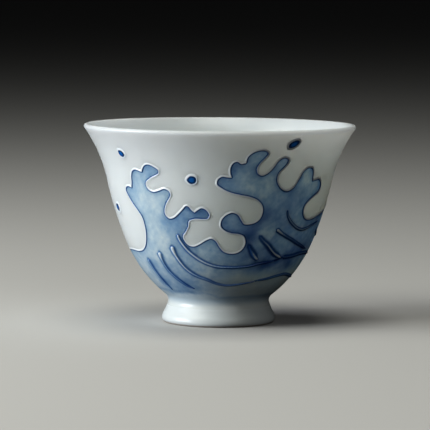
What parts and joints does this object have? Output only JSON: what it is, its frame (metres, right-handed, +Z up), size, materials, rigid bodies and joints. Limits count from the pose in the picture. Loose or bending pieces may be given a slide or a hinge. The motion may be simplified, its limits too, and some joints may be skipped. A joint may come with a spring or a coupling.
{
  "type": "teacup",
  "caption": "Small flared porcelain teacup on a foot ring, with raised slip-trailed blue waves and spray drops round its outside.",
  "frame": {"origin": "centre of the foot ring's contact circle, on the surface that the cup stands on", "axes": "+Z up along the cup's axis; -Y faces the side with the tall left wave and the fingered right wave"},
  "size_m": [0.078, 0.078, 0.0569],
  "materials": {
    "white_glaze": "clear glossy glaze on white porcelain, washed cobalt blue inside the waves",
    "foot_glaze": "clear glossy glaze with a wiped, unglazed contact ring",
    "outline_slip": "white trailed slip under clear glossy glaze",
    "streak_slip": "trailed slip under thin cobalt wash, glossy",
    "cobalt_glaze": "deep glossy cobalt glaze pooled in a drop"
  },
  "bodies": {
    "root": {"bowl": "white_glaze", "foot_ring": "foot_glaze", "left_crescent_outline": "outline_slip", "left_cloud_outline": "outline_slip", "left_finger_outline": "outline_slip", "middle_outline": "outline_slip", "small_cloud_outline": "outline_slip", "right_fingers_outline": "outline_slip", "right_crest_outline": "outline_slip", "back_fingers_outline": "outline_slip", "back_curl_outline": "outline_slip", "left_wave_streaks": "streak_slip", "right_wave_streaks": "streak_slip", "back_wave_streaks": "streak_slip", "spray_drop_rings": "outline_slip", "spray_drop_beads": "cobalt_glaze"}
  },
  "joints": []
}
